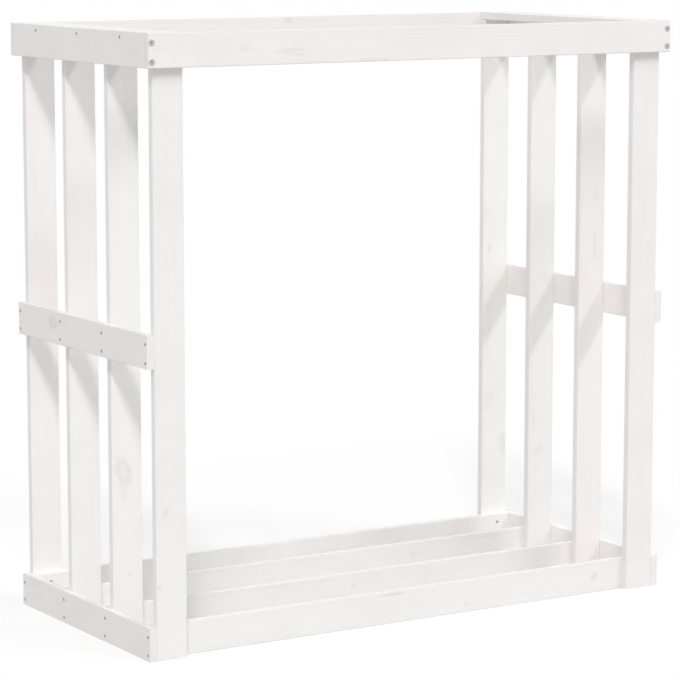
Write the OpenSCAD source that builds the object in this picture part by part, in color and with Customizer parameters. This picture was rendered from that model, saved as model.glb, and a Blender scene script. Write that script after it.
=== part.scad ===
// Open rack for stacking firewood: two slatted side frames, four long boards on edge
// at the bottom that carry the logs, and two long boards round the top.
// X runs left to right, Y front to back, Z up. The origin is on the floor, below the
// middle of the rack. All boards are of one planed section.

/* [Rack] */
// Overall width, left to right
rack_w = 1080; // [700:10:1500]
// Overall depth, front to back
rack_d = 520; // [360:10:700]
// Overall height
rack_h = 1060; // [700:10:1400]
// Height of the mid rails' centre line above the floor
mid_rail_z = 530; // [200:5:600]

/* [Boards] */
// Width of a board's broad face
board_w = 58; // [50:1:70]
// Thickness of a board
board_t = 14; // [12:0.5:18]
// Radius of the eased edges along a board
edge_r = 1.5; // [0.5:0.1:2.5]
// Radius of the eased edges at a board's sawn ends
end_r = 0.5; // [0.2:0.1:1]

/* [Nails] */
// Length of a nail, head included
nail_len = 32; // [26:1:36]
// Diameter of a nail's shank
nail_d = 2.6; // [2:0.1:3.2]
// Diameter of a nail's flat head
nail_head_d = 6; // [4.4:0.2:7]
// Thickness of a nail's head
nail_head_t = 1; // [0.6:0.1:1.4]
// Length of a nail's point
nail_point = 4; // [2.5:0.5:6]
// Distance between the two nails of a pair
nail_pair = 32; // [20:1:36]
// How far the middle of such a pair lies below the rail's middle
nail_drop = 3; // [0:0.5:5]
// Height of a side board's nails above the lower face of the batten that they enter
side_nail_rise = 4; // [2.5:0.5:9.5]

/* [Corner screws] */
// Length of a corner screw
corner_screw_len = 35; // [28:1:50]
// Diameter of a corner screw's shank
corner_screw_d = 5; // [4:0.1:6]
// Diameter of a corner screw's countersunk head
corner_head_d = 11.2; // [9:0.2:12.2]
// Distance between the two screws at one corner
corner_pair = 32; // [24:1:36]
// How far the middle of such a pair lies below the board's middle
corner_drop = 3; // [0:0.5:5]

/* [Rail screws] */
// Diameter of a rail screw's shank
rail_screw_d = 3; // [2.5:0.1:4]
// Diameter of a rail screw's countersunk head
rail_head_d = 6; // [5:0.2:8]
// Distance between the two screws that hold a rail to a slat
rail_pair = 32; // [20:1:36]
// How far the middle of such a pair lies below the rail's middle
rail_drop = 3; // [0:0.5:5]
// Wood left between a rail screw's point and the far face of the slat
point_cover = 3; // [1.5:0.5:5]

/* [Fits] */
// Clearance round a nail or screw in its hole
fastener_gap = 0.05; // [0.02:0.01:0.1]
// How deep a nail's or screw's head is set below the face of the wood
head_sink = 0.3; // [0.1:0.1:0.6]
// Clearance round the rim of a screw's head
rim_gap = 0.25; // [0.1:0.05:0.4]
// Depth of the straight rim above the cone of a screw head
head_rim = 0.4; // [0.2:0.1:0.8]

/* [Hidden] */

paint = [0.93, 0.925, 0.915];
zinc = [0.62, 0.63, 0.64];

LEFT = 1;
RIGHT = -1;
ALONG_X = 0;
ALONG_Y = 1;
ALONG_Z = 2;
FRONT = 0;
MID_FRONT = 1;
MID_REAR = 2;
REAR = 3;
slats_a_side = 4;

// The left side frame, whose mirror image is the right one
half_w = rack_w / 2;
slat_outer_x = -half_w + board_t;
slat_mid_x = slat_outer_x + board_w / 2;
side_len = rack_d - 2 * board_t;
side_front_y = -side_len / 2;
slat_len = rack_h - board_t;
slat_pitch = (side_len - board_t) / (slats_a_side - 1);
slat_y = [for (i = [0:slats_a_side - 1]) side_front_y + i * slat_pitch];
slat_mid_y = [for (y = slat_y) y + board_t / 2];
// Halfway between neighbouring slats
bay_mid_y = [for (i = [0:slats_a_side - 2]) slat_mid_y[i] + slat_pitch / 2];

end_rail_z = board_w / 2;
top_board_z = rack_h - board_w;
batten_z = rack_h - board_t;

// The long bottom boards stand behind their slats, the rear one before its slat
rail_len = rack_w - 2 * board_t;
rail_y = [for (i = [0:slats_a_side - 1]) slat_y[i] + (i == REAR ? -board_t : board_t)];
rail_screw_len = 2 * board_t - point_cover - head_sink;

// How far a cutting shape stands out past the face that it cuts
past = 1;
round_fn = 48;
edge_fn = 24;
// A screw's point is this many shank diameters long
point_ratio = 1.6;
// The cross recess in a screw head, as shares of the head's diameter
recess_span = 0.47;
recess_wing = 0.12;
recess_foot = 0.14;
recess_depth = 0.2;
// The crosses of neighbouring screws stand at different angles
first_turn = 18;
next_turn = 37;

// Rectangle from the origin with its four corners rounded
module rounded_rectangle(w, h, r) {
    translate([r, 0]) square([w - 2 * r, h]);
    translate([0, r]) square([w, h - 2 * r]);
    for (x = [r, w - r]) {
        for (y = [r, h - r]) {
            translate([x, y]) circle(r, $fn = edge_fn);
        }
    }
}

// Planed board from the origin, with its edges eased more along the grain than at the ends
module board(size, grain) {
    r = [for (axis = [ALONG_X:ALONG_Z]) axis == grain ? edge_r : end_r];
    intersection() {
        rotate([90, 0, 90]) linear_extrude(size.x) rounded_rectangle(size.y, size.z, r.x);
        translate([0, size.y, 0])
            rotate([90, 0, 0]) linear_extrude(size.y) rounded_rectangle(size.x, size.z, r.y);
        linear_extrude(size.z) rounded_rectangle(size.x, size.y, r.z);
    }
}

// Half outlines of the fasteners, head face at 0 and point downwards. A hole's outline is
// wider by the clearances and stands out past the face.
function nail_outline(gap, out) = [
    [0, out],
    [nail_head_d / 2 + gap, out],
    [nail_head_d / 2 + gap, -nail_head_t],
    [nail_d / 2 + gap, -nail_head_t],
    [nail_d / 2 + gap, -(nail_len - nail_point)],
    [0, -nail_len - gap * nail_point / (nail_d / 2)]
];

function screw_outline(len, d, head_d, gap, rim, out) = [
    [0, out],
    [head_d / 2 + rim, out],
    [head_d / 2 + rim, -head_rim],
    [head_d / 2 + gap, -head_rim],
    [d / 2 + gap, -head_rim - (head_d - d) / 2],
    [d / 2 + gap, -(len - point_ratio * d)],
    [0, -len - gap * point_ratio * 2]
];

module nail() {
    translate([0, 0, -head_sink])
        rotate_extrude($fn = round_fn) polygon(nail_outline(0, 0));
}

module nail_hole() {
    translate([0, 0, -head_sink])
        rotate_extrude($fn = round_fn) polygon(nail_outline(fastener_gap, past));
}

// Cross recess with four wings that taper to its foot
module cross_recess(head_d, turn) {
    span = recess_span * head_d;
    wing = recess_wing * head_d;
    foot = recess_foot * head_d;
    depth = recess_depth * head_d;
    for (quarter = [0, 90]) {
        rotate([0, 0, turn + quarter])
            translate([0, wing / 2, 0])
            rotate([90, 0, 0])
            linear_extrude(wing)
            polygon([
                [-span / 2, past], [span / 2, past], [span / 2, 0],
                [foot / 2, -depth], [-foot / 2, -depth], [-span / 2, 0]
            ]);
    }
}

module screw(len, d, head_d, turn) {
    translate([0, 0, -head_sink]) difference() {
        rotate_extrude($fn = round_fn) polygon(screw_outline(len, d, head_d, 0, 0, 0));
        cross_recess(head_d, turn);
    }
}

module screw_hole(len, d, head_d) {
    translate([0, 0, -head_sink])
        rotate_extrude($fn = round_fn)
        polygon(screw_outline(len, d, head_d, fastener_gap, rim_gap, past));
}

function turn_of(i) = first_turn + i * next_turn;

// The left frame is drawn as it is, the right one mirrored
module on_side(side) {
    if (side == LEFT) {
        children();
    } else {
        mirror([1, 0, 0]) children();
    }
}

// Pairs of nails driven inwards through a rail on the left frame
module at_rail_nails(mid_ys, centre_z) {
    for (y = mid_ys) {
        for (dz = [-nail_pair / 2, nail_pair / 2]) {
            translate([-half_w, y, centre_z - nail_drop + dz]) rotate([0, -90, 0]) children();
        }
    }
}

// Single nails driven inwards through the side board into the batten's edge
module at_side_board_nails() {
    for (y = bay_mid_y) {
        translate([-half_w, y, batten_z + side_nail_rise]) rotate([0, -90, 0]) children();
    }
}

// Pairs of nails driven down through the batten into the slats' top ends
module at_batten_nails(mid_ys) {
    for (y = mid_ys) {
        for (dx = [-nail_pair / 2, nail_pair / 2]) {
            translate([slat_mid_x + dx, y, rack_h]) children();
        }
    }
}

// Screws through a long top board into the end grain of the side boards
module at_corner_screws(facing) {
    xs = [-half_w + board_t / 2, half_w - board_t / 2];
    mid_z = rack_h - board_w / 2 - corner_drop;
    zs = [mid_z - corner_pair / 2, mid_z + corner_pair / 2];
    for (i = [0:1]) {
        for (j = [0:1]) {
            $turn = turn_of(2 * i + j);
            translate([xs[i], facing == FRONT ? -rack_d / 2 : rack_d / 2, zs[j]])
                rotate([facing == FRONT ? 90 : -90, 0, 0]) children();
        }
    }
}

// Screws through a long bottom board into its slat on each side given. They are driven
// from the face that looks away from the slat.
module at_rail_screws(row, sides) {
    face_y = rail_y[row] + (row == REAR ? 0 : board_t);
    mid_z = board_w / 2 - rail_drop;
    for (side = sides) {
        for (j = [0:1]) {
            $turn = turn_of(row + 2 * j + side);
            translate([side * slat_mid_x, face_y, mid_z + (j - 0.5) * rail_pair])
                rotate([row == REAR ? 90 : -90, 0, 0]) children();
        }
    }
}

module corner_screw_hole() {
    screw_hole(corner_screw_len, corner_screw_d, corner_head_d);
}

module rail_screw_hole() {
    screw_hole(rail_screw_len, rail_screw_d, rail_head_d);
}

module slat(side, row) {
    mid_y = [slat_mid_y[row]];
    color(paint) on_side(side) difference() {
        translate([slat_outer_x, slat_y[row], 0]) board([board_w, board_t, slat_len], ALONG_Z);
        at_rail_nails(mid_y, end_rail_z) nail_hole();
        at_rail_nails(mid_y, mid_rail_z) nail_hole();
        at_batten_nails(mid_y) nail_hole();
        at_rail_screws(row, [LEFT]) rail_screw_hole();
    }
}

module side_rail(side, centre_z) {
    color(paint) on_side(side) difference() {
        translate([-half_w, side_front_y, centre_z - board_w / 2])
            board([board_t, side_len, board_w], ALONG_Y);
        at_rail_nails(slat_mid_y, centre_z) nail_hole();
    }
}

module side_board(side) {
    color(paint) on_side(side) difference() {
        translate([-half_w, side_front_y, top_board_z])
            board([board_t, side_len, board_w], ALONG_Y);
        at_side_board_nails() nail_hole();
        at_corner_screws(FRONT) corner_screw_hole();
        at_corner_screws(REAR) corner_screw_hole();
    }
}

module top_batten(side) {
    color(paint) on_side(side) difference() {
        translate([slat_outer_x, side_front_y, batten_z])
            board([board_w, side_len, board_t], ALONG_Y);
        at_batten_nails(slat_mid_y) nail_hole();
        at_side_board_nails() nail_hole();
    }
}

module bottom_rail(row) {
    color(paint) difference() {
        translate([-rail_len / 2, rail_y[row], 0]) board([rail_len, board_t, board_w], ALONG_X);
        at_rail_screws(row, [LEFT, RIGHT]) rail_screw_hole();
    }
}

module top_board(facing) {
    y = facing == FRONT ? -rack_d / 2 : rack_d / 2 - board_t;
    color(paint) difference() {
        translate([-half_w, y, top_board_z]) board([rack_w, board_t, board_w], ALONG_X);
        at_corner_screws(facing) corner_screw_hole();
    }
}

module rail_nails(side, centre_z) {
    color(zinc) on_side(side) at_rail_nails(slat_mid_y, centre_z) nail();
}

module side_board_nails(side) {
    color(zinc) on_side(side) at_side_board_nails() nail();
}

module batten_nails(side) {
    color(zinc) on_side(side) at_batten_nails(slat_mid_y) nail();
}

module corner_screws(facing) {
    color(zinc) at_corner_screws(facing)
        screw(corner_screw_len, corner_screw_d, corner_head_d, $turn);
}

module rail_screws(row) {
    color(zinc) at_rail_screws(row, [LEFT, RIGHT])
        screw(rail_screw_len, rail_screw_d, rail_head_d, $turn);
}

slat(LEFT, FRONT);  // left_front_slat
slat(LEFT, MID_FRONT);  // left_mid_front_slat
slat(LEFT, MID_REAR);  // left_mid_rear_slat
slat(LEFT, REAR);  // left_rear_slat
slat(RIGHT, FRONT);  // right_front_slat
slat(RIGHT, MID_FRONT);  // right_mid_front_slat
slat(RIGHT, MID_REAR);  // right_mid_rear_slat
slat(RIGHT, REAR);  // right_rear_slat
side_rail(LEFT, end_rail_z);  // left_end_rail
side_rail(RIGHT, end_rail_z);  // right_end_rail
side_rail(LEFT, mid_rail_z);  // left_mid_rail
side_rail(RIGHT, mid_rail_z);  // right_mid_rail
side_board(LEFT);  // left_side_board
side_board(RIGHT);  // right_side_board
top_batten(LEFT);  // left_top_batten
top_batten(RIGHT);  // right_top_batten
bottom_rail(FRONT);  // front_rail
bottom_rail(MID_FRONT);  // mid_front_rail
bottom_rail(MID_REAR);  // mid_rear_rail
bottom_rail(REAR);  // rear_rail
top_board(FRONT);  // front_top_board
top_board(REAR);  // rear_top_board
rail_nails(LEFT, end_rail_z);  // left_end_rail_nails
rail_nails(RIGHT, end_rail_z);  // right_end_rail_nails
rail_nails(LEFT, mid_rail_z);  // left_mid_rail_nails
rail_nails(RIGHT, mid_rail_z);  // right_mid_rail_nails
side_board_nails(LEFT);  // left_side_board_nails
side_board_nails(RIGHT);  // right_side_board_nails
batten_nails(LEFT);  // left_batten_nails
batten_nails(RIGHT);  // right_batten_nails
corner_screws(FRONT);  // front_corner_screws
corner_screws(REAR);  // rear_corner_screws
rail_screws(FRONT);  // front_rail_screws
rail_screws(MID_FRONT);  // mid_front_rail_screws
rail_screws(MID_REAR);  // mid_rear_rail_screws
rail_screws(REAR);  // rear_rail_screws
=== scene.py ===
"""Looks of a white painted pine log store: board and steel finishes, floor, light and camera."""

import math
import random

import bpy
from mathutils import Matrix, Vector


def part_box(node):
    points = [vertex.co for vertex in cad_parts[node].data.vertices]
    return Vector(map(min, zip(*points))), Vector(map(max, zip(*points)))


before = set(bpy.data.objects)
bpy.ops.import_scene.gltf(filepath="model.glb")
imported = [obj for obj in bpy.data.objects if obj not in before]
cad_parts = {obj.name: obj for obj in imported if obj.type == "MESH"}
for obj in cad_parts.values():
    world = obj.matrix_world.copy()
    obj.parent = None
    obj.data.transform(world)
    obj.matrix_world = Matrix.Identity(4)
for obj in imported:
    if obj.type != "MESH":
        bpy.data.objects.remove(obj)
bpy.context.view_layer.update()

MM = 0.001
WHITE = (1.0, 1.0, 1.0)

# Camera, found by matching the board edges in the photograph
CAMERA_AT = Vector((-2.777, -4.465, 1.263))
CAMERA_YAW = math.radians(31.79)
CAMERA_PITCH = math.radians(-8.49)
CAMERA_LENS = 153.36
CAMERA_SENSOR = 36.0
CAMERA_REACH = 200.0

# Long narrow lamps above the front, found by matching the shadows on the slats: the way
# that the light travels, its strength, how the lamp is turned, and its length and width.
# Turn, length and width are those of its outline on a ceiling one metre up.
LAMPS = {
    "left_lamp": (Vector((0.465, 0.65, -1.0)), 1.575, math.radians(75.0), 0.68, 0.085),
    "right_lamp": (Vector((-0.68, 1.06, -1.0)), 0.65, math.radians(77.0), 0.60, 0.10),
}
# The soft light of the room, by the way it comes from
SKY_ABOVE = 0.090
SKY_FRONT = 0.167
SKY_LEFT = 0.81
SKY_RIGHT = 1.14
# The floor's colour and glow, first as they light the rack from below, then as the camera
# sees them
FLOOR_SHADE = 0.25
FLOOR_GLOW = 0.38
FLOOR_SEEN_SHADE = 0.34
FLOOR_SEEN_GLOW = 0.65
FLOOR_REACH = 60.0

# White paint over planed pine, as linear colour, and the tints that multiply it
PAINT = (0.903, 0.890, 0.876)
PINK_TINT = (0.998, 0.978, 0.982)
GREEN_TINT = (0.978, 0.990, 0.978)
# Painted light that makes some inner boards a little lighter
INNER_BOARD_LIGHT_TINT = (1.022, 1.022, 1.022)
KNOT_TINT = (0.886, 0.862, 0.864)
LATE_WOOD_TINT = (0.980, 0.977, 0.973)
STREAK_TINT = (0.991, 0.990, 0.989)
THIN_PAINT_TINT = (0.986, 0.980, 0.974)
END_GRAIN_TINT = (0.972, 0.965, 0.956)
WORN_TINT = (0.945, 0.930, 0.905)
# Painted shade that darkens the rounds facing up, where light from above would make a bright line
UPPER_EDGE_SHADE_TINT = (0.880, 0.872, 0.868)
# How much of a tint shows at most, and at least where a board's end has no late wood
LATE_WOOD_SHARE = 0.5
WORN_SHARE = 0.7
GREEN_SHARE = 0.6
EYE_SHARE = 0.35
END_SHARE = 0.55
END_RING_SHARE = 0.6

PAINT_ROUGHNESS = 0.52
FIBRE_ROUGHNESS = 0.18
END_ROUGHNESS = 0.2
PAINT_SPECULAR = 0.12
PAINT_BUMP = 0.8
# Relief of the paint over the wood
RING_RELIEF = 0.045 * MM
FIBRE_RELIEF = 0.05 * MM
STREAK_RELIEF = 0.10 * MM
SPECK_RELIEF = 0.035 * MM
KNOT_RELIEF = 0.15 * MM

# Growth rings: their width, how far the pith wanders, how far a ring wavers, in rings, and the
# parts of a ring over which late wood comes and ends
RING_WIDTH = 3.1 * MM
PITH_WANDER = 22.0 * MM
RING_WAVER = 0.9
LATE_WOOD_COMES = (0.30, 0.85)
LATE_WOOD_ENDS = (0.86, 1.0)
# How fine each noise is: waves in a metre, or along, across and through the board
WANDER_SCALE = (1.6, 5.0, 5.0)
WAVER_SCALE = (5.0, 55.0, 55.0)
FIBRE_SCALE = (14.0, 900.0, 900.0)
STREAK_SCALE = (3.0, 120.0, 120.0)
CLOUD_SCALE = 3.0
PATCH_SCALE = 9.0
KNOT_EDGE_SCALE = 110.0
EDGE_SCALE = 160.0
SPECK_SCALE = 420.0
# The values of a noise over which its mark comes in
STREAK_BAND = (0.35, 0.68)
PATCH_BAND = (0.42, 0.66)
# How squarely a face looks along the grain, or up, to count as an end, or as an upper edge that gets
# painted shade
END_BAND = (0.6, 0.9)
SHADED_UPWARD_BAND = (0.1, 0.4)

# Wear near a board's edge, and the painted shade on rounds that face up: full at the first distance
# and gone at the second, and how far the ragged limit of the worn band swings
WORN_BAND = (0.1 * MM, 1.1 * MM)
UPPER_EDGE_SHADE_BAND = (0.8 * MM, 1.8 * MM)
EDGE_RAGGED = 1.6 * MM

# Marks of a knot: the two distances from its middle, in half widths, between which each one
# fades, or comes in at the rim's inside. Then how far its outline swings, the rings that it
# pushes aside, and how strong its marks are.
KNOT_HEART = (0.2, 1.4)
KNOT_RIM_INSIDE = (0.4, 0.9)
KNOT_RIM_OUTSIDE = (0.9, 1.7)
KNOT_HALO = (0.9, 2.6)
KNOT_EYE = (0.0, 0.4)
KNOT_PUSH = (0.0, 4.2)
KNOT_RAGGED = 1.5
KNOT_PUSHED_RINGS = 2.6
HEART_STRENGTH = 0.6
RIM_STRENGTH = 0.4
HALO_STRENGTH = 0.15
# A knot of this half width or more shows as a ring round a paler heart
RINGED_FROM = 8.0 * MM
RINGED_HEART_STRENGTH = 0.35
RINGED_RIM_STRENGTH = 0.65

# Steel: its colour, its roughness and the tint of its dull blotches
NAIL_STEEL = ((0.40, 0.395, 0.39), 0.42, (0.6, 0.56, 0.52))
SCREW_STEEL = ((0.57, 0.568, 0.562), 0.36, (0.82, 0.81, 0.79))
DULL_ROUGHNESS = 0.2
DULL_BAND = (0.4, 0.65)
BLOTCH_SCALE = 500.0
SCRATCH_SCALE = (2600.0, 900.0, 5200.0)
SCRATCH_RELIEF = 0.02 * MM
STEEL_BUMP = 0.5

# Knots and dark streaks that show through the paint: metres along the board and across it in
# the row frame, half width, strength, and length against width
KNOTS = {
    "front_rail": [
        (0.403, 0.030, 5.0 * MM, 0.9, 1.3),
        (0.116, 0.016, 3.5 * MM, 0.5, 1.3),
        (-0.041, 0.053, 2.4 * MM, 0.8, 8.0),
    ],
    "mid_front_rail": [(-0.026, 0.033, 4.0 * MM, 0.4, 1.3)],
    "mid_rear_rail": [(0.209, 0.035, 4.0 * MM, 0.5, 1.8), (0.375, 0.049, 2.4 * MM, 0.35, 12.0)],
    "front_top_board": [
        (-0.357, 1.032, 7.0 * MM, 0.45, 1.3),
        (-0.266, 1.027, 1.0 * MM, 0.75, 20.0),
        (-0.250, 1.026, 1.6 * MM, 0.7, 2.0),
        (-0.279, 1.023, 1.0 * MM, 0.65, 17.0),
        (-0.254, 1.018, 1.0 * MM, 0.65, 13.0),
        (-0.103, 1.006, 2.0 * MM, 0.5, 12.0),
    ],
    "rear_top_board": [(0.029, 1.053, 4.2 * MM, 0.7, 1.5)],
    "left_front_slat": [(0.255, -0.508, 4.0 * MM, 0.75, 1.3), (0.129, -0.521, 2.8 * MM, 0.8, 1.3)],
    "left_mid_front_slat": [
        (0.115, -0.492, 3.2 * MM, 0.6, 1.3),
        (0.299, -0.504, 11.5 * MM, 0.8, 1.7),
        (0.266, -0.501, 7.0 * MM, 0.4, 2.6),
    ],
    "left_mid_rail": [(0.108, 0.539, 9.0 * MM, 0.85, 1.3)],
    "right_mid_front_slat": [(0.632, 0.504, 2.5 * MM, 0.75, 8.0), (0.727, 0.504, 7.0 * MM, 0.35, 1.3)],
    "right_mid_rear_slat": [
        (0.211, 0.493, 7.6 * MM, 0.5, 1.3),
        (0.277, 0.480, 3.0 * MM, 0.4, 4.0),
        (0.178, 0.488, 5.0 * MM, 0.4, 1.5),
    ],
    "right_rear_slat": [
        (0.593, 0.482, 3.4 * MM, 0.7, 2.2),
        (0.661, 0.474, 4.0 * MM, 0.35, 2.0),
        (0.290, 0.484, 8.5 * MM, 0.35, 1.6),
        (0.197, 0.519, 6.0 * MM, 0.6, 3.2),
    ],
}
# Boards whose paint looks pinker in the photograph, and greener, and how far each moves
PINK_BOARDS = (
    "left_end_rail", "front_top_board", "mid_rear_rail", "right_mid_front_slat",
    "left_rear_slat", "mid_front_rail", "right_front_slat", "rear_top_board", "right_mid_rail",
)
GREEN_BOARDS = (
    "left_front_slat", "left_side_board", "left_mid_rear_slat", "front_rail",
    "right_top_batten", "left_mid_front_slat", "right_rear_slat",
)
PINK_SHIFT = 0.19
GREEN_SHIFT = 0.11
# Half the range of the cloud noise over which pink turns into green
CAST_BLUR = 0.12
# Painted light: these inner boards, which get less light, are made a little lighter
PAINTED_LIGHT_BOARDS = (
    "right_mid_rail", "right_end_rail", "rear_rail", "mid_rear_rail", "right_rear_slat",
)
# These boards show a clear face in the photograph
CLEAR_BOARDS = (
    "left_side_board", "left_end_rail", "left_mid_rear_slat", "left_rear_slat",
    "right_front_slat", "right_mid_rail", "rear_rail",
)


class Nodes:
    """Short calls that add shader nodes to one tree."""

    def __init__(self, tree):
        self.tree = tree

    def add(self, kind, **settings):
        made = self.tree.nodes.new(kind)
        for name, value in settings.items():
            setattr(made, name, value)
        return made

    def feed(self, socket, value):
        if isinstance(value, bpy.types.NodeSocket):
            self.tree.links.new(value, socket)
        else:
            socket.default_value = value

    def math(self, operation, *values):
        made = self.add("ShaderNodeMath", operation=operation)
        for socket, value in zip(made.inputs, values):
            self.feed(socket, value)
        return made.outputs[0]

    def vector(self, operation, *values):
        made = self.add("ShaderNodeVectorMath", operation=operation)
        for socket, value in zip(made.inputs, values):
            self.feed(socket, value)
        return made.outputs["Value" if operation in ("LENGTH", "DOT_PRODUCT") else "Vector"]

    def split(self, vector):
        made = self.add("ShaderNodeSeparateXYZ")
        self.feed(made.inputs[0], vector)
        return made.outputs

    def join(self, x, y, z):
        made = self.add("ShaderNodeCombineXYZ")
        for socket, value in zip(made.inputs, (x, y, z)):
            self.feed(socket, value)
        return made.outputs[0]

    def noise(self, place, scale, detail=2.0, roughness=0.5):
        """Noise from 0 to 1. scale is one number, or three that stretch it."""
        if isinstance(scale, tuple):
            place = self.vector("MULTIPLY", place, scale)
            scale = 1.0
        made = self.add("ShaderNodeTexNoise")
        self.feed(made.inputs["Vector"], place)
        made.inputs["Scale"].default_value = scale
        made.inputs["Detail"].default_value = detail
        made.inputs["Roughness"].default_value = roughness
        return made.outputs["Fac"]

    def swing(self, noise, amount):
        """A noise turned into a swing of amount, half of it to either side of zero."""
        return self.math("MULTIPLY", self.math("SUBTRACT", noise, 0.5), amount)

    def total(self, *values):
        result = values[0]
        for value in values[1:]:
            result = self.math("ADD", result, value)
        return result

    def between(self, first, second, share):
        """The number first where share is 0, and second where it is 1."""
        return self.math("ADD", first, self.math("MULTIPLY", share, second - first))

    def ease(self, value, low, high, start=0.0, end=1.0):
        """start up to low, end from high, and a smooth step between."""
        made = self.add("ShaderNodeMapRange", interpolation_type="SMOOTHSTEP")
        for name, given in (("Value", value), ("From Min", low), ("From Max", high),
                            ("To Min", start), ("To Max", end)):
            self.feed(made.inputs[name], given)
        return made.outputs[0]

    def fade(self, value, low, high, start=1.0):
        """start up to low, nothing from high, and a smooth step between."""
        return self.ease(value, low, high, start, 0.0)

    def tint(self, colour, by, amount):
        """colour multiplied by the plain colour by, as far as amount says."""
        made = self.add("ShaderNodeMix", data_type="RGBA", blend_type="MULTIPLY")
        self.feed(made.inputs[0], amount)
        self.feed(made.inputs[6], colour)
        self.feed(made.inputs[7], opaque(by))
        return made.outputs[2]

    def relief(self, shader, height, strength):
        """Height in metres, as the shader's bump."""
        bump = self.add("ShaderNodeBump")
        bump.inputs["Strength"].default_value = strength
        bump.inputs["Distance"].default_value = 1.0
        self.feed(bump.inputs["Height"], height)
        self.feed(shader.inputs["Normal"], bump.outputs["Normal"])

    def seen(self):
        """1 where the camera looks at the surface, also by reflection or through glass."""
        path = self.add("ShaderNodeLightPath").outputs
        by_way_of = self.math("MAXIMUM", path["Is Glossy Ray"], path["Is Transmission Ray"])
        return self.math("MAXIMUM", path["Is Camera Ray"], by_way_of)


class Board:
    """A board's middle and half size, and its axes in order: along, across and through it."""

    def __init__(self, node):
        low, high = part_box(node)
        self.middle = (low + high) / 2
        self.half = (high - low) / 2
        self.order = sorted(range(3), key=lambda axis: -self.half[axis])


def opaque(colour):
    return (*colour, 1.0)


def new_material(name):
    """A material and the calls that add nodes to it."""
    material = bpy.data.materials.new(name)
    material.use_nodes = True
    return material, Nodes(material.node_tree)


def growth_rings(n, given, shifted):
    """Share of dark late wood in the rings round the pith, from 0 to 1."""
    wander = n.swing(n.noise(shifted, WANDER_SCALE), PITH_WANDER)
    waver = n.swing(n.noise(shifted, WAVER_SCALE, 1.5), RING_WAVER)
    pith_across, pith_through, pith_lean = n.split(given["Pith"])
    lean = n.math("MULTIPLY", given["Along"], pith_lean)
    away_across = n.math("SUBTRACT", n.math("ADD", given["Across"], wander), pith_across)
    away_through = n.math("SUBTRACT", n.math("ADD", given["Through"], lean), pith_through)
    from_pith = n.vector("LENGTH", n.join(away_across, away_through, 0.0))
    ring_count = n.total(n.math("DIVIDE", from_pith, RING_WIDTH), waver, given["Knot"])
    in_ring = n.math("FRACT", ring_count)
    return n.math("MULTIPLY", n.ease(in_ring, *LATE_WOOD_COMES), n.fade(in_ring, *LATE_WOOD_ENDS))


def distance_to_edge(n, place, half):
    """Distance to the board's nearest edge: the second least of the distances to its faces."""
    to_faces = n.vector("SUBTRACT", half, n.vector("ABSOLUTE", place))
    to_along, to_across, to_through = n.split(to_faces)
    least = n.math("MINIMUM", to_along, to_across)
    most = n.math("MAXIMUM", to_along, to_across)
    return n.math("MAXIMUM", least, n.math("MINIMUM", most, to_through))


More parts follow.
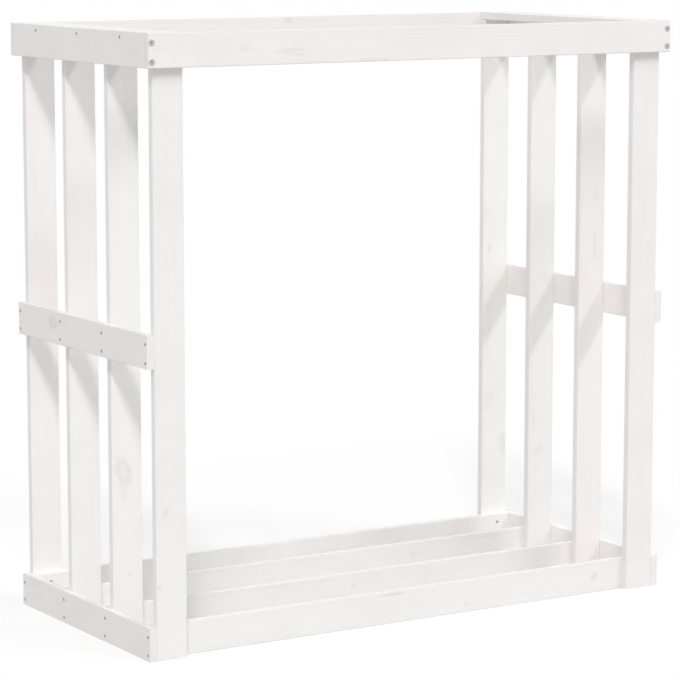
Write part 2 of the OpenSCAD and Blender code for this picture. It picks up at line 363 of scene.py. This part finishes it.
def grain_group():
    """Growth rings, fibres, brush marks, worn edges and painted shade on the rounds that face up, of
    one painted board.

    Along, Across and Through are metres from the board's middle. The rings lie round a pith
    that runs nearly along the board, so a face shows long streaks or arches and an end shows
    arcs. A knot pushes the rings aside."""
    tree = bpy.data.node_groups.new("painted_pine_grain", "ShaderNodeTree")
    for name in ("Along", "Across", "Through", "Knot", "End"):
        tree.interface.new_socket(name, in_out="INPUT", socket_type="NodeSocketFloat")
    for name in ("Shift", "Pith", "Half"):
        tree.interface.new_socket(name, in_out="INPUT", socket_type="NodeSocketVector")
    tree.interface.new_socket("Colour", in_out="OUTPUT", socket_type="NodeSocketColor")
    tree.interface.new_socket("Roughness", in_out="OUTPUT", socket_type="NodeSocketFloat")
    tree.interface.new_socket("Height", in_out="OUTPUT", socket_type="NodeSocketFloat")
    n = Nodes(tree)
    given = n.add("NodeGroupInput").outputs
    place = n.join(given["Along"], given["Across"], given["Through"])
    shifted = n.vector("ADD", place, given["Shift"])

    late = growth_rings(n, given, shifted)
    fibre = n.noise(shifted, FIBRE_SCALE, 3.0, 0.6)
    streak = n.noise(shifted, STREAK_SCALE, 3.0, 0.55)
    patch = n.noise(shifted, PATCH_SCALE, 3.0, 0.6)
    speck = n.noise(shifted, SPECK_SCALE, 2.0, 0.7)

    to_edge = distance_to_edge(n, place, given["Half"])
    ragged = n.swing(n.noise(shifted, EDGE_SCALE, 3.0), EDGE_RAGGED)
    worn = n.fade(n.math("ADD", to_edge, ragged), *WORN_BAND)
    # Painted shade: the rounds that face up are darkened, to hold back the bright line that light from
    # above gives them
    up = n.split(n.add("ShaderNodeTexCoord").outputs["Normal"])[2]
    on_round = n.fade(to_edge, *UPPER_EDGE_SHADE_BAND)
    painted_edge_shade = n.math("MULTIPLY", n.ease(up, *SHADED_UPWARD_BAND), on_round)

    colour = n.tint(opaque(PAINT), LATE_WOOD_TINT, n.math("MULTIPLY", late, LATE_WOOD_SHARE))
    colour = n.tint(colour, STREAK_TINT, n.ease(streak, *STREAK_BAND))
    colour = n.tint(colour, THIN_PAINT_TINT, n.ease(patch, *PATCH_BAND))
    end_rings = n.math("ADD", END_SHARE, n.math("MULTIPLY", late, END_RING_SHARE))
    colour = n.tint(colour, END_GRAIN_TINT, n.math("MULTIPLY", given["End"], end_rings))
    colour = n.tint(colour, WORN_TINT, n.math("MULTIPLY", worn, WORN_SHARE))
    colour = n.tint(colour, UPPER_EDGE_SHADE_TINT, painted_edge_shade)

    fibre_roughness = n.swing(fibre, FIBRE_ROUGHNESS)
    end_roughness = n.math("MULTIPLY", given["End"], END_ROUGHNESS)
    patterns = (late, fibre, streak, speck)
    reliefs = (RING_RELIEF, FIBRE_RELIEF, STREAK_RELIEF, SPECK_RELIEF)
    heights = [n.math("MULTIPLY", pattern, relief) for pattern, relief in zip(patterns, reliefs)]

    result = n.add("NodeGroupOutput").inputs
    n.feed(result["Colour"], colour)
    n.feed(result["Roughness"], n.total(PAINT_ROUGHNESS, fibre_roughness, end_roughness))
    n.feed(result["Height"], n.total(*heights))
    return tree


def own_knots(node, board, chance):
    """Knots measured in the photograph, or one or two chosen for a board that it hides."""
    if node in KNOTS:
        return KNOTS[node]
    if node in CLEAR_BOARDS:
        return []
    lengthwise, crosswise = board.order[:2]
    knots = []
    for _ in range(chance.choice((1, 1, 2))):
        along = board.middle[lengthwise] + board.half[lengthwise] * chance.uniform(-0.9, 0.9)
        across = board.middle[crosswise] + board.half[crosswise] * chance.uniform(-0.7, 0.7)
        half_width = chance.uniform(3, 6) * MM
        strength = chance.uniform(0.5, 0.9)
        stretch = chance.uniform(1, 2)
        knots.append((along, across, half_width, strength, stretch))
    return knots


def knot_marks(n, node, board, chance, place, along, across):
    """How far a board's knots push the rings aside, how much they stain, and their dark eyes.

    Each knot has a heart, a darker rim and a soft halo, and lies at a slant."""
    push = 0.0
    stain = 0.0
    eye = 0.0
    lengthwise, crosswise = board.order[:2]
    for knot_along, knot_across, half_width, strength, stretch in own_knots(node, board, chance):
        ringed = half_width >= RINGED_FROM
        heart_strength = RINGED_HEART_STRENGTH if ringed else HEART_STRENGTH
        rim_strength = RINGED_RIM_STRENGTH if ringed else RIM_STRENGTH

        from_along = n.math("SUBTRACT", along, knot_along - board.middle[lengthwise])
        from_across = n.math("SUBTRACT", across, knot_across - board.middle[crosswise])
        slant = chance.uniform(-0.6, 0.6) / stretch ** 2
        slanted = n.math("ADD", from_across, n.math("MULTIPLY", from_along, slant))
        away_along = n.math("DIVIDE", from_along, half_width * stretch)
        away = n.join(away_along, n.math("DIVIDE", slanted, half_width), 0.0)
        ragged = n.swing(n.noise(place, KNOT_EDGE_SCALE, 3.0, 0.6), KNOT_RAGGED)
        far = n.math("ADD", n.vector("LENGTH", away), ragged)

        heart = n.fade(far, *KNOT_HEART, heart_strength)
        rim_outside = n.fade(far, *KNOT_RIM_OUTSIDE, rim_strength)
        rim = n.math("MULTIPLY", n.ease(far, *KNOT_RIM_INSIDE), rim_outside)
        shape = n.total(heart, rim, n.fade(far, *KNOT_HALO, HALO_STRENGTH))
        pushed = n.math("MULTIPLY", n.fade(far, *KNOT_PUSH), KNOT_PUSHED_RINGS)
        push = n.math("ADD", push, pushed)
        stain = n.math("MAXIMUM", stain, n.math("MULTIPLY", shape, strength))
        if not ringed:
            eye = n.math("MAXIMUM", eye, n.math("MULTIPLY", n.fade(far, *KNOT_EYE), strength))
    return push, stain, eye


def paint_cast(n, node, chance, colour, shifted):
    """The paint is a little pinker in some places of a board and greener in others, and some inner
    boards get painted light.
    """
    cloud = n.noise(shifted, CLOUD_SCALE, 1.0)
    turn = chance.uniform(0.45, 0.55)
    if node in PINK_BOARDS:
        turn -= PINK_SHIFT
    elif node in GREEN_BOARDS:
        turn += GREEN_SHIFT
    band = (turn - CAST_BLUR, turn + CAST_BLUR)
    colour = n.tint(colour, PINK_TINT, n.ease(cloud, *band))
    colour = n.tint(colour, GREEN_TINT, n.fade(cloud, *band, GREEN_SHARE))
    # Painted light on the inner boards
    if node in PAINTED_LIGHT_BOARDS:
        colour = n.tint(colour, INNER_BOARD_LIGHT_TINT, 1.0)
    return colour


def painted_pine(node, grain, seed):
    """White paint over pine for one board, with its own grain, cast and knots."""
    chance = random.Random(seed)
    board = Board(node)
    material, n = new_material("painted_pine_" + node)
    shader = n.tree.nodes["Principled BSDF"]

    object_place = n.add("ShaderNodeTexCoord").outputs["Object"]
    place = n.vector("SUBTRACT", object_place, tuple(board.middle))
    parts = n.split(place)
    along, across, through = (parts[axis] for axis in board.order)
    push, stain, eye = knot_marks(n, node, board, chance, place, along, across)

    grain_way = tuple(float(axis == board.order[0]) for axis in range(3))
    normal = n.add("ShaderNodeNewGeometry").outputs["Normal"]
    facing = n.math("ABSOLUTE", n.vector("DOT_PRODUCT", normal, grain_way))

    side = chance.choice((-1, 1))
    pith_across = chance.uniform(-40, 40) * MM
    pith_through = side * chance.uniform(18, 70) * MM
    pith_lean = chance.uniform(-0.03, 0.03)
    shift = tuple(chance.uniform(-8, 8) for _ in range(3))
    rings = n.add("ShaderNodeGroup", node_tree=grain)
    given = {
        "Along": along, "Across": across, "Through": through, "Knot": push,
        "End": n.ease(facing, *END_BAND),
        "Shift": shift,
        "Pith": (pith_across, pith_through, pith_lean),
        "Half": tuple(board.half[axis] for axis in board.order),
    }
    for name, value in given.items():
        n.feed(rings.inputs[name], value)

    shifted = n.vector("ADD", place, shift)
    colour = paint_cast(n, node, chance, rings.outputs["Colour"], shifted)
    colour = n.tint(colour, KNOT_TINT, stain)
    colour = n.tint(colour, KNOT_TINT, n.math("MULTIPLY", eye, EYE_SHARE))
    n.feed(shader.inputs["Base Color"], colour)
    n.feed(shader.inputs["Roughness"], rings.outputs["Roughness"])
    shader.inputs["Specular IOR Level"].default_value = PAINT_SPECULAR
    knot_height = n.math("MULTIPLY", stain, KNOT_RELIEF)
    n.relief(shader, n.math("ADD", rings.outputs["Height"], knot_height), PAINT_BUMP)
    return material


def steel(name, colour, roughness, dull_tint):
    """Steel with dull blotches and fine scratches."""
    material, n = new_material(name)
    shader = n.tree.nodes["Principled BSDF"]
    place = n.add("ShaderNodeTexCoord").outputs["Object"]
    dull = n.ease(n.noise(place, BLOTCH_SCALE, 3.0, 0.6), *DULL_BAND)
    scratch = n.noise(place, SCRATCH_SCALE)
    dull_roughness = n.math("MULTIPLY", dull, DULL_ROUGHNESS)
    n.feed(shader.inputs["Base Color"], n.tint(opaque(colour), dull_tint, dull))
    shader.inputs["Metallic"].default_value = 1.0
    n.feed(shader.inputs["Roughness"], n.math("ADD", roughness, dull_roughness))
    n.relief(shader, n.math("MULTIPLY", scratch, SCRATCH_RELIEF), STEEL_BUMP)
    return material


def dress():
    """Gives every piece of the frame its finish."""
    grain = grain_group()
    nails = steel("nail_steel", *NAIL_STEEL)
    screws = steel("screw_steel", *SCREW_STEEL)
    for seed, (name, piece) in enumerate(sorted(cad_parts.items())):
        if name.endswith("_nails"):
            finish = nails
        elif name.endswith("_screws"):
            finish = screws
        else:
            finish = painted_pine(name, grain, seed)
        for slot in piece.material_slots:
            slot.material = finish


def white_floor():
    """Pale floor. The camera sees it white but for the rack's soft shadow."""
    bpy.ops.mesh.primitive_plane_add(size=2 * FLOOR_REACH)
    floor = bpy.context.object
    floor.name = "floor"
    material, n = new_material("floor_white")
    n.tree.nodes.remove(n.tree.nodes["Principled BSDF"])
    seen = n.seen()
    matt = n.add("ShaderNodeBsdfDiffuse")
    shade = n.between(FLOOR_SHADE, FLOOR_SEEN_SHADE, seen)
    n.feed(matt.inputs["Color"], n.join(shade, shade, shade))
    glow = n.add("ShaderNodeEmission")
    n.feed(glow.inputs["Strength"], n.between(FLOOR_GLOW, FLOOR_SEEN_GLOW, seen))
    both = n.add("ShaderNodeAddShader")
    n.feed(both.inputs[0], matt.outputs[0])
    n.feed(both.inputs[1], glow.outputs[0])
    n.feed(n.tree.nodes["Material Output"].inputs["Surface"], both.outputs[0])
    floor.data.materials.append(material)


def hang_lamps():
    """Each long lamp is a row of small round ones."""
    for name, (way, strength, turn, length, width) in LAMPS.items():
        count = round(length / width)
        for i in range(count):
            data = bpy.data.lights.new("%s_%d" % (name, i + 1), "SUN")
            data.energy = strength / count
            data.angle = width / way.length
            made = bpy.data.objects.new(data.name, data)
            step = length * ((i + 0.5) / count - 0.5)
            aim = way + Vector((math.cos(turn), math.sin(turn), 0.0)) * step
            made.rotation_euler = aim.to_track_quat("-Z", "Y").to_euler()
            bpy.context.scene.collection.objects.link(made)


def white_sky():
    """Soft light, most of it from the sides, which the camera and metal see as plain white."""
    world = bpy.data.worlds.new("studio")
    world.use_nodes = True
    bpy.context.scene.world = world
    n = Nodes(world.node_tree)
    seen = n.seen()
    way = n.split(n.add("ShaderNodeTexCoord").outputs["Generated"])
    light = n.math("MULTIPLY", n.math("MAXIMUM", way[2], 0.0), SKY_ABOVE)
    for part, strength in ((way[1], -SKY_FRONT), (way[0], -SKY_LEFT), (way[0], SKY_RIGHT)):
        toward = n.math("MAXIMUM", n.math("MULTIPLY", part, strength), 0.0)
        light = n.math("ADD", light, toward)
    unseen = n.math("SUBTRACT", 1.0, seen)
    sky = n.tree.nodes["Background"]
    sky.inputs["Color"].default_value = opaque(WHITE)
    n.feed(sky.inputs["Strength"], n.math("ADD", n.math("MULTIPLY", light, unseen), seen))


def place_camera():
    data = bpy.data.cameras.new("camera")
    data.lens = CAMERA_LENS
    data.sensor_width = CAMERA_SENSOR
    data.clip_end = CAMERA_REACH
    camera = bpy.data.objects.new("camera", data)
    camera.location = CAMERA_AT
    camera.rotation_euler = (math.radians(90) + CAMERA_PITCH, 0.0, -CAMERA_YAW)
    bpy.context.scene.collection.objects.link(camera)
    bpy.context.scene.camera = camera


dress()
white_floor()
hang_lamps()
white_sky()
place_camera()
bpy.context.scene.view_settings.view_transform = "Standard"
